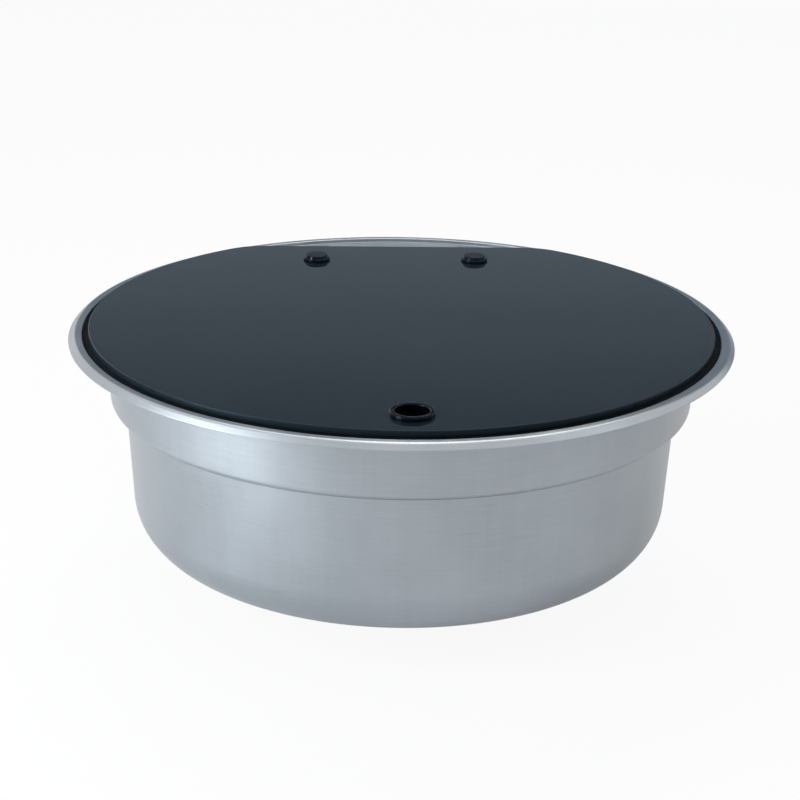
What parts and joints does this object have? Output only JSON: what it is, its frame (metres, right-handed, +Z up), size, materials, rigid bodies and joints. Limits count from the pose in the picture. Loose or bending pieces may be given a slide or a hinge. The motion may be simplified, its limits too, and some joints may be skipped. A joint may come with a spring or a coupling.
{
  "type": "round inset sink with glass lid",
  "caption": "Round pressed steel inset sink with a stepped bowl, a hinged dark glass lid with a finger ring, a low swivel tap and a lift-out strainer.",
  "frame": {"origin": "on the bowl's axis, on the plane of the worktop that carries the ledge and the rim", "axes": "+Z up, out of the bowl; -Y to the front, where the finger ring is; +Y to the hinges and the tap; +X to the right seen from the front"},
  "size_m": [0.4199, 0.42, 0.1799],
  "materials": {
    "bowl_steel": "satin brushed stainless steel",
    "lid_glass": "dark tinted toughened glass, polished edge",
    "seal_rubber": "matt black rubber",
    "black_gloss": "gloss black moulding",
    "waste_plastic": "matt black moulding",
    "fitting_steel": "bright stainless steel",
    "tap_chrome": "chrome plate",
    "tap_brass": "plain brass",
    "index_blue": "gloss blue moulding"
  },
  "bodies": {
    "sink": {"bowl_shell": "bowl_steel", "lid_seal": "seal_rubber", "hinge_leaf_left": "fitting_steel", "hinge_leaf_right": "fitting_steel", "hinge_pin_left": "fitting_steel", "hinge_pin_right": "fitting_steel", "waste_flange": "fitting_steel", "waste_top_gasket": "seal_rubber", "waste_bottom_gasket": "seal_rubber", "waste_body": "waste_plastic", "waste_screw": "fitting_steel", "tap_gasket": "seal_rubber", "tap_body": "tap_chrome", "tap_washer": "seal_rubber", "tap_backnut": "waste_plastic", "tap_rings": "seal_rubber", "tap_cartridge": "tap_brass"},
    "lid": {"lid_glass": "lid_glass", "hinge_arm_left": "fitting_steel", "hinge_arm_right": "fitting_steel", "hinge_cap_left": "black_gloss", "hinge_cap_right": "black_gloss", "glass_bush_left": "seal_rubber", "glass_bush_right": "seal_rubber", "arm_pad_left": "seal_rubber", "arm_pad_right": "seal_rubber", "cap_nut_left": "fitting_steel", "cap_nut_right": "fitting_steel", "finger_ring": "black_gloss", "finger_ring_nut": "black_gloss"},
    "strainer": {"strainer_basket": "fitting_steel", "strainer_seal": "seal_rubber", "strainer_knob": "fitting_steel"},
    "spout": {"spout": "tap_chrome", "spout_aerator": "tap_chrome"},
    "handle": {"tap_handle": "tap_chrome", "handle_screw": "fitting_steel", "handle_plug": "index_blue"}
  },
  "joints": [
    {"name": "lid_hinge", "type": "hinge", "parent": "sink", "child": "lid", "pos_m": [0, 0.172, 0.0034], "axis": [-1, 0, 0], "range_deg": [0, 100]},
    {"name": "strainer_lift", "type": "slide", "parent": "sink", "child": "strainer", "axis": [0, 0, 1], "range_m": [0, 0.1]},
    {"name": "tap_swivel", "type": "hinge", "parent": "sink", "child": "spout", "pos_m": [0, 0.128, -0.0244], "axis": [0, 0, 1], "range_deg": [-75, 75]},
    {"name": "tap_handle_turn", "type": "hinge", "parent": "sink", "child": "handle", "pos_m": [0, 0.128, -0.0076], "axis": [0, 0, -1], "range_deg": [0, 90]}
  ]
}
